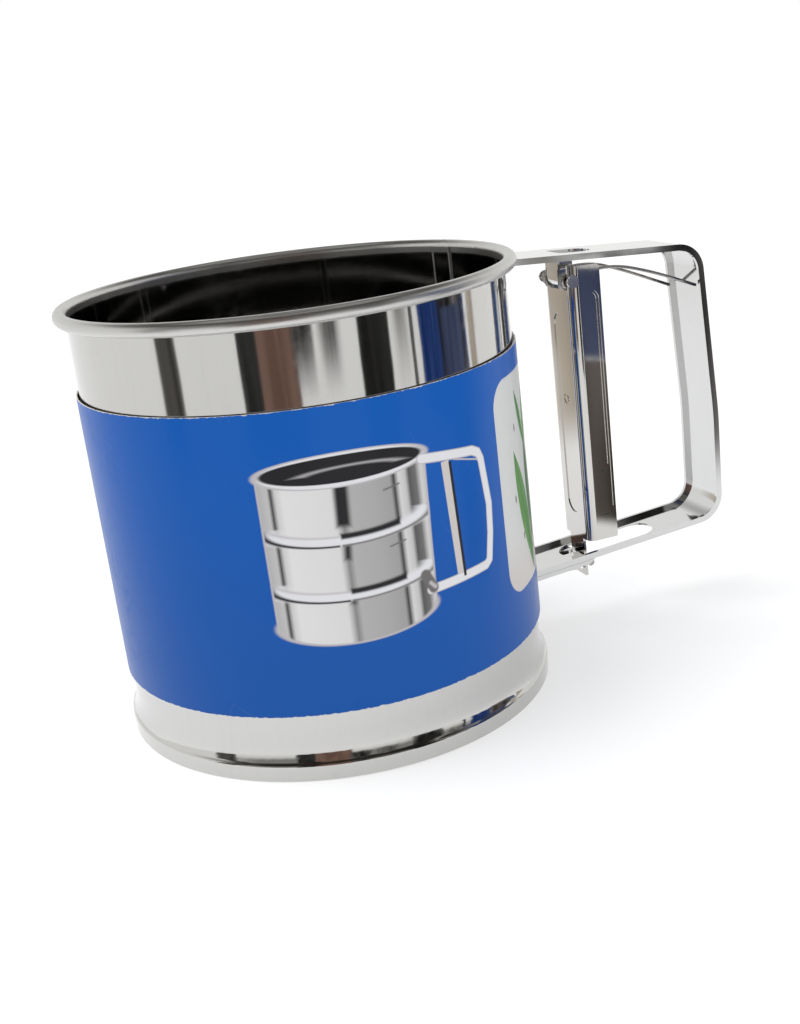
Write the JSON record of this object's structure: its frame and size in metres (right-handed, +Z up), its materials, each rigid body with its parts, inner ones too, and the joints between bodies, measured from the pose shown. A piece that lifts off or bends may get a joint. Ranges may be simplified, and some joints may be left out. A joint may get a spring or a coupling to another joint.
{
  "type": "flour sifter",
  "caption": "Stainless one-hand flour sifter: cup with wire mesh base, squeeze trigger in a strap handle, pull rod and rocking agitator, with a printed card sleeve.",
  "frame": {"origin": "centre of the base hem, in the plane the sifter stands on", "axes": "+Z up along the cup's axis, +X from the cup's axis out through the handle, +Y across the handle"},
  "size_m": [0.1562, 0.103, 0.0983],
  "materials": {
    "cup_steel": "bright polished stainless sheet with fine rolling grain",
    "handle_steel": "polished stainless strip",
    "trigger_steel": "polished stainless pressing",
    "inner_steel": "pressed stainless, satin",
    "mesh_wire": "woven stainless wire",
    "wire": "bright drawn wire",
    "rivet_steel": "satin rivet",
    "printed_card": "gloss-coated card printed in blue"
  },
  "bodies": {
    "sifter_body": {"body_shell": "cup_steel", "card_sleeve": "printed_card", "screen_ring": "inner_steel", "mesh_screen": "mesh_wire", "handle_strap": "handle_steel", "handle_rivets": "rivet_steel", "rod_guard": "handle_steel", "spider_bracket": "inner_steel", "axle_rivet": "rivet_steel", "spacer_bush": "rivet_steel", "axle_washer": "rivet_steel", "return_spring": "wire"},
    "trigger": {"trigger": "trigger_steel", "trigger_pin": "rivet_steel"},
    "pull_rod": {"pull_rod": "wire"},
    "agitator": {"agitator": "inner_steel"}
  },
  "joints": [
    {"name": "trigger_hinge", "type": "hinge", "parent": "sifter_body", "child": "trigger", "pos_m": [0.067, 0, 0.087], "axis": [0, -1, 0], "range_deg": [0, 9.4], "stiffness_Nm_per_rad": 1.5, "springref_deg": -6.88, "deforming": ["return_spring"]},
    {"name": "rod_slide", "type": "slide", "parent": "sifter_body", "child": "pull_rod", "axis": [0.9906, -0.137, 0], "range_m": [0, 0.012]},
    {"name": "agitator_turn", "type": "hinge", "parent": "sifter_body", "child": "agitator", "pos_m": [0, 0, 0.0125], "axis": [0, 0, -1], "range_deg": [0, 62]}
  ],
  "couplings": [
    {"joint": "rod_slide", "follows": "trigger_hinge", "m_per_rad": 0.0727},
    {"joint": "agitator_turn", "follows": "trigger_hinge", "ratio": 6.55}
  ]
}
